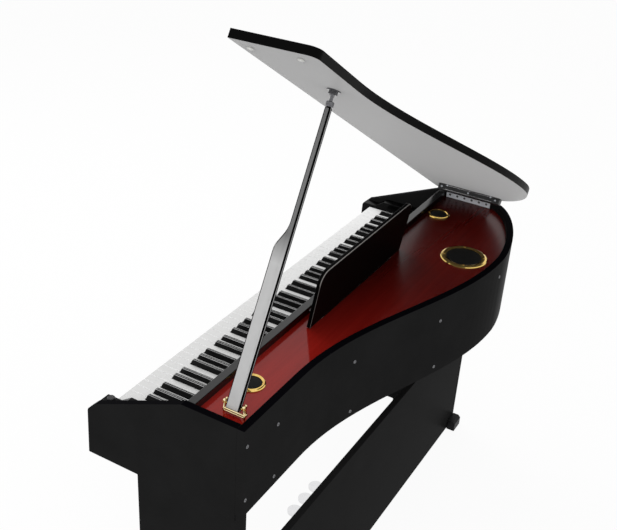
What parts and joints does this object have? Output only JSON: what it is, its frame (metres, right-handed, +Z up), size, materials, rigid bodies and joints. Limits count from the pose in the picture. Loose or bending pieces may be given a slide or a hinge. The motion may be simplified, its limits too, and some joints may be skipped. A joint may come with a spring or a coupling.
{
  "type": "digital piano",
  "caption": "Digital piano in a small grand case on a panel stand, with a curved rim, a raised lid on a prop, weighted keys, pedals and speakers in a red top panel.",
  "frame": {"origin": "on the floor, below the middle of the piano's plan with its lid raised", "axes": "+X along the keys from bass to treble, +Y from the player towards the tail, +Z up"},
  "size_m": [1.318, 0.608, 1.5569],
  "materials": {
    "case_black": "high-gloss black polyester lacquer",
    "red_panel": "high-gloss mahogany red lacquer",
    "inner_board": "plain particle board, dark stained",
    "foot_black": "satin black moulding",
    "moulded_black": "satin black moulding",
    "hinge_steel": "bright plated steel",
    "screw_steel": "plated steel screw heads",
    "frame_steel": "folded sheet steel, painted",
    "polished_brass": "polished and lacquered",
    "prop_chrome": "bright chrome",
    "pedal_chrome": "bright chrome",
    "grille_black": "perforated sheet, satin black",
    "driver_black": "pressed steel basket and magnet",
    "circuit_green": "solder-masked board",
    "bumper_white": "translucent soft bumper",
    "key_white": "polished white key top",
    "key_black": "semi-gloss black"
  },
  "bodies": {
    "case": {"treble_side": "case_black", "bass_side": "case_black", "treble_leg": "case_black", "bass_leg": "case_black", "bentside": "case_black", "bottom_board": "inner_board", "soundboard": "red_panel", "key_rail": "case_black", "control_shelf": "case_black", "key_slip": "case_black", "treble_cheek": "case_black", "bass_cheek": "case_black", "cross_panel": "case_black", "pedal_box": "case_black", "rear_feet": "foot_black", "front_glides": "foot_black", "hinge_lower_leaf": "hinge_steel", "hinge_pin": "hinge_steel", "hinge_screws": "screw_steel", "prop_bracket": "polished_brass", "prop_pin": "polished_brass", "key_frame": "frame_steel", "key_shaft": "hinge_steel", "woofer_ring": "polished_brass", "tweeter_rings": "polished_brass", "woofer_grille": "grille_black", "tweeter_grilles": "grille_black", "woofer_driver": "driver_black", "tweeter_drivers": "driver_black", "main_board": "circuit_green", "power_inlet": "moulded_black", "panel_screws": "screw_steel", "pedal_shaft": "hinge_steel"},
    "lid": {"lid": "case_black", "lid_bumpers": "bumper_white", "hinge_upper_leaf": "hinge_steel", "prop_cup": "prop_chrome"},
    "prop": {"prop_stick": "case_black", "prop_tip": "prop_chrome"},
    "music_desk": {"music_desk": "case_black", "desk_pins": "polished_brass"},
    "keys_c": {"keys_c": "key_white"},
    "keys_c_sharp": {"keys_c_sharp": "key_black"},
    "keys_d": {"keys_d": "key_white"},
    "keys_d_sharp": {"keys_d_sharp": "key_black"},
    "keys_e": {"keys_e": "key_white"},
    "keys_f": {"keys_f": "key_white"},
    "keys_f_sharp": {"keys_f_sharp": "key_black"},
    "keys_g": {"keys_g": "key_white"},
    "keys_g_sharp": {"keys_g_sharp": "key_black"},
    "keys_a": {"keys_a": "key_white"},
    "keys_a_sharp": {"keys_a_sharp": "key_black"},
    "keys_b": {"keys_b": "key_white"},
    "left_pedal": {"left_pedal": "pedal_chrome"},
    "middle_pedal": {"middle_pedal": "pedal_chrome"},
    "right_pedal": {"right_pedal": "pedal_chrome"},
    "volume_knob": {"volume_knob": "moulded_black"},
    "power_button": {"power_button": "moulded_black"},
    "voice_button": {"voice_button": "moulded_black"},
    "rhythm_button": {"rhythm_button": "moulded_black"}
  },
  "joints": [
    {"name": "lid_hinge", "type": "hinge", "parent": "case", "child": "lid", "pos_m": [-0.6365, 0.04, 0.844], "axis": [0, -1, 0], "range_deg": [0, 22]},
    {"name": "prop_fold", "type": "hinge", "parent": "case", "child": "prop", "pos_m": [0.602, 0.043, 0.837], "axis": [0, -1, 0], "range_deg": [0, 61.5]},
    {"name": "desk_lift", "type": "slide", "parent": "case", "child": "music_desk", "axis": [0, 0.1564, 0.9877], "range_m": [0, 0.012]},
    {"name": "keys_c_press", "type": "hinge", "parent": "case", "child": "keys_c", "pos_m": [0, -0.032, 0.713], "axis": [1, 0, 0], "range_deg": [0, 2.5], "stiffness_Nm_per_rad": 30, "springref_deg": -5.73},
    {"name": "keys_c_sharp_press", "type": "hinge", "parent": "case", "child": "keys_c_sharp", "pos_m": [0, -0.032, 0.713], "axis": [1, 0, 0], "range_deg": [0, 2.5], "stiffness_Nm_per_rad": 30, "springref_deg": -5.73},
    {"name": "keys_d_press", "type": "hinge", "parent": "case", "child": "keys_d", "pos_m": [0, -0.032, 0.713], "axis": [1, 0, 0], "range_deg": [0, 2.5], "stiffness_Nm_per_rad": 30, "springref_deg": -5.73},
    {"name": "keys_d_sharp_press", "type": "hinge", "parent": "case", "child": "keys_d_sharp", "pos_m": [0, -0.032, 0.713], "axis": [1, 0, 0], "range_deg": [0, 2.5], "stiffness_Nm_per_rad": 30, "springref_deg": -5.73},
    {"name": "keys_e_press", "type": "hinge", "parent": "case", "child": "keys_e", "pos_m": [0, -0.032, 0.713], "axis": [1, 0, 0], "range_deg": [0, 2.5], "stiffness_Nm_per_rad": 30, "springref_deg": -5.73},
    {"name": "keys_f_press", "type": "hinge", "parent": "case", "child": "keys_f", "pos_m": [0, -0.032, 0.713], "axis": [1, 0, 0], "range_deg": [0, 2.5], "stiffness_Nm_per_rad": 30, "springref_deg": -5.73},
    {"name": "keys_f_sharp_press", "type": "hinge", "parent": "case", "child": "keys_f_sharp", "pos_m": [0, -0.032, 0.713], "axis": [1, 0, 0], "range_deg": [0, 2.5], "stiffness_Nm_per_rad": 30, "springref_deg": -5.73},
    {"name": "keys_g_press", "type": "hinge", "parent": "case", "child": "keys_g", "pos_m": [0, -0.032, 0.713], "axis": [1, 0, 0], "range_deg": [0, 2.5], "stiffness_Nm_per_rad": 30, "springref_deg": -5.73},
    {"name": "keys_g_sharp_press", "type": "hinge", "parent": "case", "child": "keys_g_sharp", "pos_m": [0, -0.032, 0.713], "axis": [1, 0, 0], "range_deg": [0, 2.5], "stiffness_Nm_per_rad": 30, "springref_deg": -5.73},
    {"name": "keys_a_press", "type": "hinge", "parent": "case", "child": "keys_a", "pos_m": [0, -0.032, 0.713], "axis": [1, 0, 0], "range_deg": [0, 2.5], "stiffness_Nm_per_rad": 30, "springref_deg": -5.73},
    {"name": "keys_a_sharp_press", "type": "hinge", "parent": "case", "child": "keys_a_sharp", "pos_m": [0, -0.032, 0.713], "axis": [1, 0, 0], "range_deg": [0, 2.5], "stiffness_Nm_per_rad": 30, "springref_deg": -5.73},
    {"name": "keys_b_press", "type": "hinge", "parent": "case", "child": "keys_b", "pos_m": [0, -0.032, 0.713], "axis": [1, 0, 0], "range_deg": [0, 2.5], "stiffness_Nm_per_rad": 30, "springref_deg": -5.73},
    {"name": "left_pedal_press", "type": "hinge", "parent": "case", "child": "left_pedal", "pos_m": [0, 0.03, 0.0515], "axis": [1, 0, 0], "range_deg": [0, 5], "stiffness_Nm_per_rad": 12, "springref_deg": -3.44},
    {"name": "middle_pedal_press", "type": "hinge", "parent": "case", "child": "middle_pedal", "pos_m": [0, 0.03, 0.0515], "axis": [1, 0, 0], "range_deg": [0, 5], "stiffness_Nm_per_rad": 12, "springref_deg": -3.44},
    {"name": "right_pedal_press", "type": "hinge", "parent": "case", "child": "right_pedal", "pos_m": [0, 0.03, 0.0515], "axis": [1, 0, 0], "range_deg": [0, 5], "stiffness_Nm_per_rad": 12, "springref_deg": -3.44},
    {"name": "volume_turn", "type": "hinge", "parent": "case", "child": "volume_knob", "pos_m": [0.626, -0.26, 0.737], "axis": [0, 0, -1], "range_deg": [-150, 150]},
    {"name": "power_button_push", "type": "slide", "parent": "case", "child": "power_button", "axis": [0, 0, -1], "range_m": [0, 0.0012], "stiffness_N_per_m": 600, "springref_m": -0.0008},
    {"name": "voice_button_push", "type": "slide", "parent": "case", "child": "voice_button", "axis": [0, 0, -1], "range_m": [0, 0.0012], "stiffness_N_per_m": 600, "springref_m": -0.0008},
    {"name": "rhythm_button_push", "type": "slide", "parent": "case", "child": "rhythm_button", "axis": [0, 0, -1], "range_m": [0, 0.0012], "stiffness_N_per_m": 600, "springref_m": -0.0008}
  ]
}
